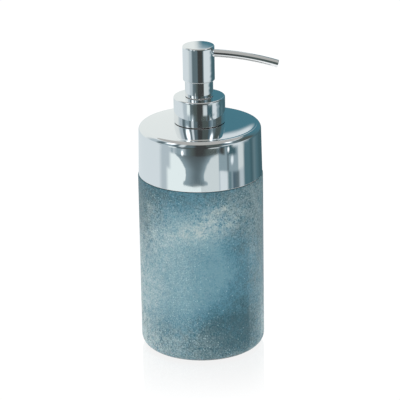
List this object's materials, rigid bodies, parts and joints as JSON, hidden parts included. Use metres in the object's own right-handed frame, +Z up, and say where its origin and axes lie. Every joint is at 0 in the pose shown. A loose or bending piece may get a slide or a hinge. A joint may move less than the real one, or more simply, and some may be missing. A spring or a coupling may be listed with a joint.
{
  "type": "soap pump dispenser",
  "caption": "Countertop lotion and soap dispenser: satin tinted glass cylinder, polished chrome shoulder cap, screw collar and press-down pump head with a slim curved spout.",
  "frame": {"origin": "centre of the flat glass base, on the surface it stands on", "axes": "+Z up along the pump's axis, +X along the spout at rest, +Y completes a right-handed frame"},
  "size_m": [0.0861, 0.076, 0.1907],
  "materials": {
    "tinted_glass": "blue-green glass with a satin, mottled and finely seeded surface",
    "polished_chrome": "mirror-polished chrome plate",
    "white_plastic": "white moulded polypropylene",
    "natural_plastic": "natural translucent polyethylene",
    "silicone_seal": "matt silicone sealing ring",
    "bright_steel": "bright stainless steel"
  },
  "bodies": {
    "vessel": {"glass_vessel": "tinted_glass", "mouth_gasket": "silicone_seal", "cap_liner": "white_plastic", "shoulder_cap": "polished_chrome", "neck_bush": "white_plastic", "neck_nut": "white_plastic"},
    "gasket": {"pump_gasket": "silicone_seal"},
    "pump": {"pump_housing": "white_plastic", "housing_retainer": "white_plastic", "guide_sleeve": "polished_chrome", "dip_tube": "natural_plastic", "return_spring": "bright_steel"},
    "collar": {"collar_closure": "white_plastic", "collar_shell": "polished_chrome"},
    "ball": {"check_ball": "bright_steel"},
    "stem": {"stem": "white_plastic", "valve_pin": "natural_plastic"},
    "piston": {"piston": "natural_plastic"},
    "head": {"head_insert": "white_plastic", "head_shell": "polished_chrome", "spout_tube": "polished_chrome"}
  },
  "joints": [
    {"name": "pump_lift", "type": "slide", "parent": "vessel", "child": "gasket", "axis": [0, 0, 1], "range_m": [0, 0.15]},
    {"name": "pump_unscrew", "type": "slide", "parent": "gasket", "child": "pump", "axis": [0, 0, 1], "range_m": [0, 0.00636]},
    {"name": "collar_turn", "type": "hinge", "parent": "pump", "child": "collar", "pos_m": [0, 0, 0.1514], "axis": [0, 0, 1], "range_deg": [0, 540]},
    {"name": "head_press", "type": "slide", "parent": "pump", "child": "stem", "axis": [0, 0, -1], "range_m": [0, 0.0095], "stiffness_N_per_m": 700, "springref_m": -0.006, "deforming": ["return_spring"]},
    {"name": "head_swivel", "type": "hinge", "parent": "stem", "child": "head", "pos_m": [0, 0, 0.18], "axis": [0, 0, 1], "continuous": true},
    {"name": "piston_float", "type": "slide", "parent": "stem", "child": "piston", "axis": [0, 0, 1], "range_m": [0, 0.0012]},
    {"name": "ball_lift", "type": "slide", "parent": "pump", "child": "ball", "axis": [0, 0, 1], "range_m": [0, 0.0015]}
  ],
  "couplings": [
    {"joint": "pump_unscrew", "follows": "collar_turn", "m_per_rad": 0.00067375}
  ]
}
